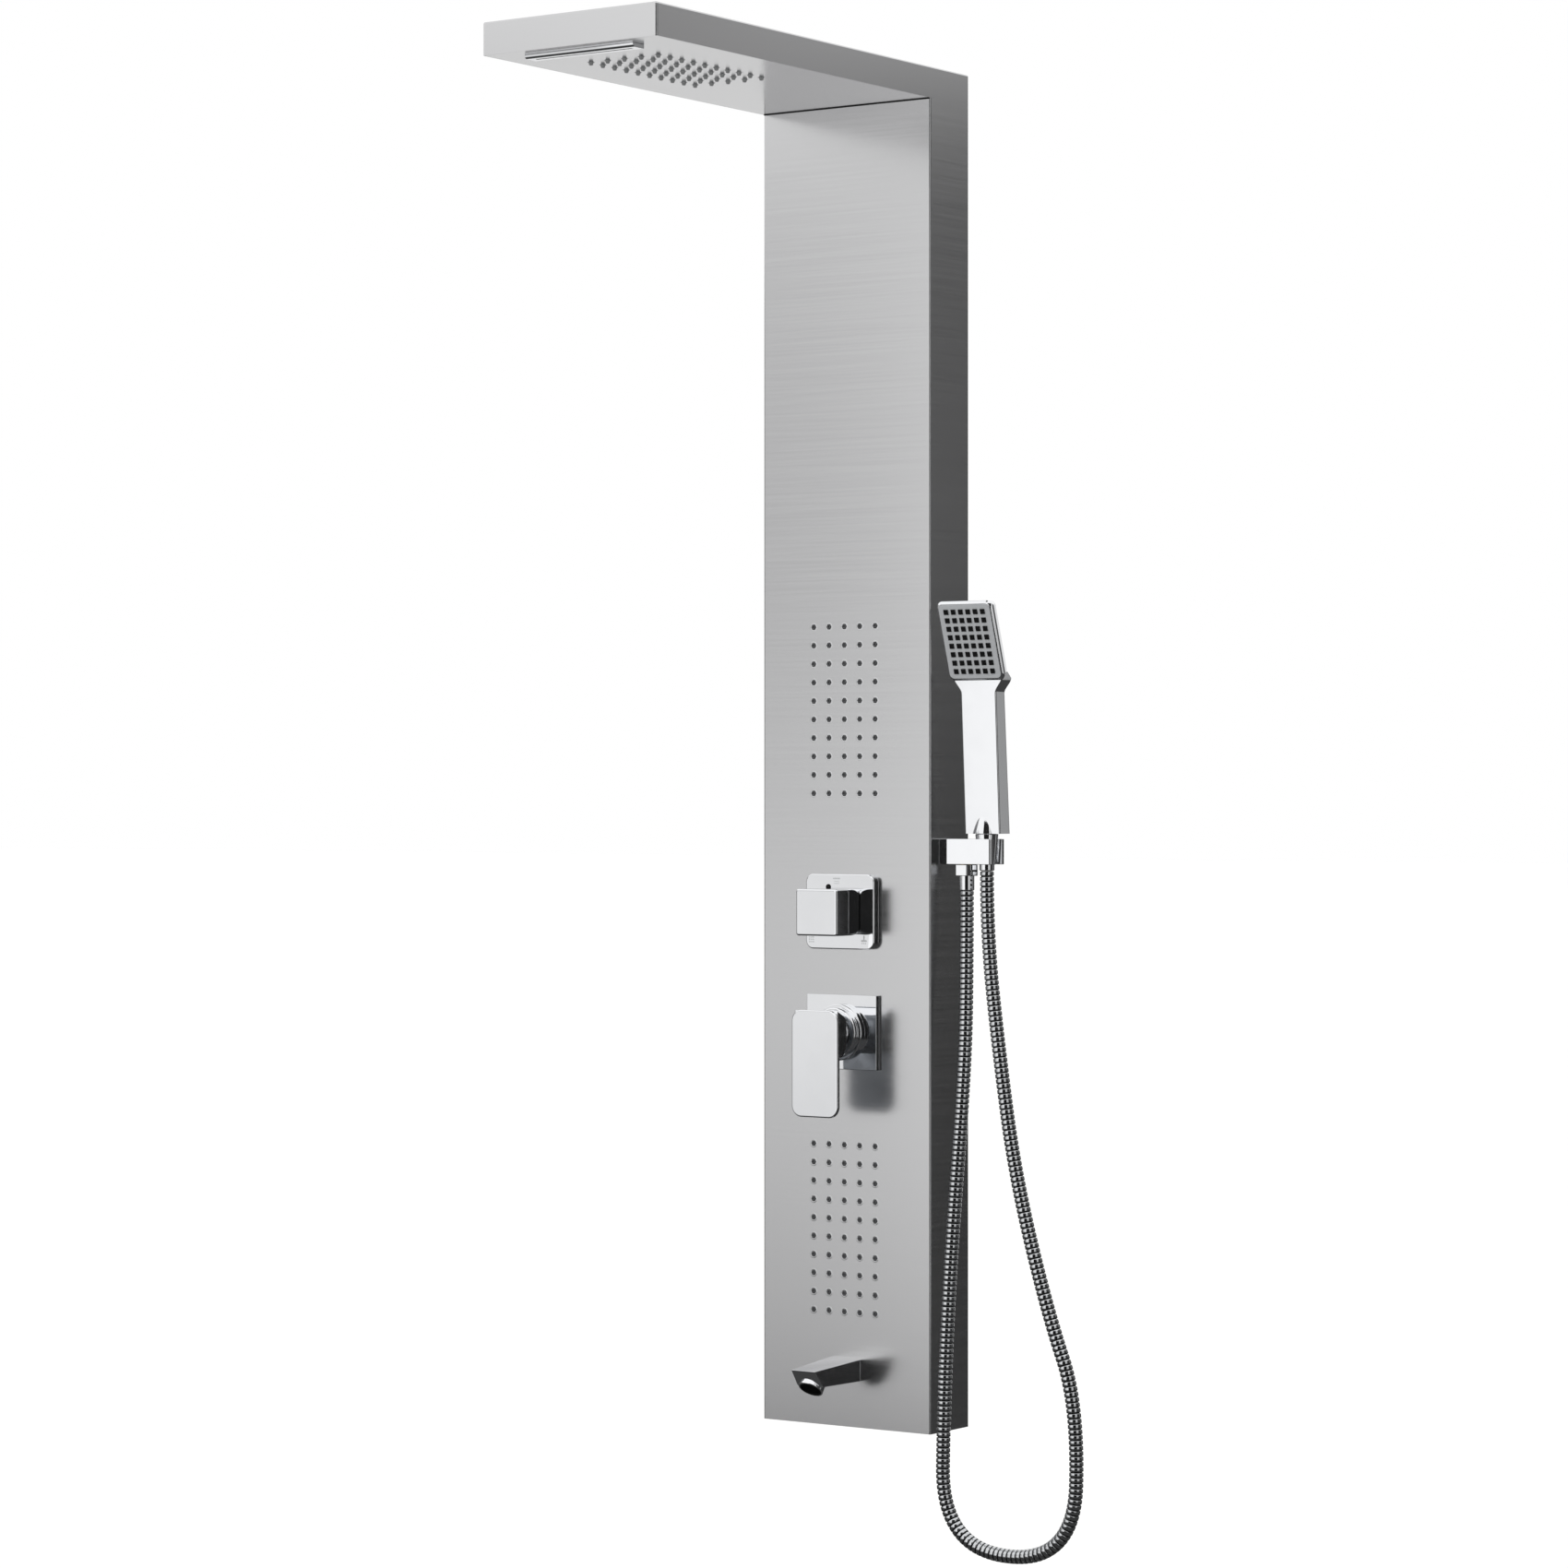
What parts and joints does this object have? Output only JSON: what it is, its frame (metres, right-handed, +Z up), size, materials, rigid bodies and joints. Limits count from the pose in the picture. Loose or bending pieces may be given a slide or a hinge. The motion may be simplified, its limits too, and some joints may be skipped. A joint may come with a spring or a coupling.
{
  "type": "shower panel column",
  "caption": "Wall-hung steel shower column with an overhead rain and waterfall arm, body jets, square diverter knob, lever mixer, bath spout and a hand shower on a ribbed hose.",
  "frame": {"origin": "middle of the row of two screw holes in the upper wall bracket, on the wall's plane", "axes": "+Z up along the column, +X to the right as a bather sees the panel, +Y into the wall, so the arm and the fittings reach towards -Y"},
  "size_m": [0.3754, 0.52, 1.4575],
  "materials": {
    "steel_sheet": "fine brushed",
    "zinc_steel": "zinc plated",
    "chrome": "polished chrome plate",
    "chromed_plastic": "chrome plated",
    "hose_metal": "ribbed steel strip",
    "brass": "machined",
    "pin_steel": "ground",
    "silicone": "matt",
    "black_rubber": "matt",
    "moulded_plastic": "moulded",
    "grey_plastic": "satin",
    "feed_pipe": "extruded"
  },
  "bodies": {
    "column": {"column_shell": "steel_sheet", "column_end_plate": "steel_sheet", "overhead_shell": "steel_sheet", "overhead_underside": "steel_sheet", "overhead_bolts": "zinc_steel", "upper_jet_mat": "silicone", "upper_jet_chamber": "moulded_plastic", "lower_jet_mat": "silicone", "lower_jet_chamber": "moulded_plastic", "rain_nozzle_mat": "silicone", "rain_chamber": "moulded_plastic", "chamber_nuts": "zinc_steel", "waterfall_lip": "chrome", "waterfall_chamber": "moulded_plastic", "diverter_plate": "chrome", "diverter_body": "brass", "diverter_cartridge": "moulded_plastic", "diverter_clamp_nut": "brass", "mixer_plate": "chrome", "mixer_body": "brass", "hot_inlet_nipple": "brass", "cold_inlet_nipple": "brass", "mixer_clamp_ring": "chrome", "cartridge_housing": "moulded_plastic", "cartridge_nut": "brass", "spout_body": "chrome", "spout_aerator": "grey_plastic", "spout_back_nut": "brass", "holder_block": "chrome", "holder_stud": "brass", "holder_back_nut": "brass", "hose_outlet_nipple": "brass", "outlet_washer": "black_rubber", "hose_hex_nut": "chrome", "hose_lower_ferrule": "chrome", "shower_hose": "hose_metal", "wall_bracket_upper": "zinc_steel", "wall_bracket_lower": "zinc_steel", "hanger_bars": "zinc_steel", "mixer_to_diverter_pipe": "feed_pipe", "rain_feed_pipe": "feed_pipe", "waterfall_feed_pipe": "feed_pipe", "jet_feed_pipes": "feed_pipe", "handset_feed_pipe": "feed_pipe", "spout_feed_pipe": "feed_pipe"},
    "diverter": {"diverter_knob": "chrome", "diverter_stem": "brass"},
    "mixer_turret": {"cartridge_turret": "brass", "mixer_dome": "chrome", "lever_pivot_pin": "pin_steel"},
    "mixer_lever": {"lever_stem": "brass", "mixer_lever": "chrome", "lever_grub_screw": "pin_steel"},
    "hose_end": {"hose_upper_ferrule": "chrome"},
    "handset": {"conical_nut": "chrome", "handset_washer": "black_rubber", "handset_body": "chromed_plastic", "handset_face": "grey_plastic", "handset_nozzles": "black_rubber"}
  },
  "joints": [
    {"name": "diverter_turn", "type": "hinge", "parent": "column", "child": "diverter", "pos_m": [-0.002, -0.1, -0.669], "axis": [0, -1, 0], "continuous": true},
    {"name": "mixer_turn", "type": "hinge", "parent": "column", "child": "mixer_turret", "pos_m": [-0.002, -0.084, -0.7885], "axis": [0, -1, 0], "range_deg": [-45, 45]},
    {"name": "lever_lift", "type": "hinge", "parent": "mixer_turret", "child": "mixer_lever", "pos_m": [-0.002, -0.084, -0.7885], "axis": [-1, 0, 0], "range_deg": [0, 25]},
    {"name": "handset_lift", "type": "slide", "parent": "column", "child": "hose_end", "axis": [0, 0, 1], "range_m": [0, 0.04]},
    {"name": "handset_swivel", "type": "hinge", "parent": "hose_end", "child": "handset", "pos_m": [0.1473, -0.041, -0.6], "axis": [0, 0, 1], "range_deg": [-20, 90]}
  ]
}
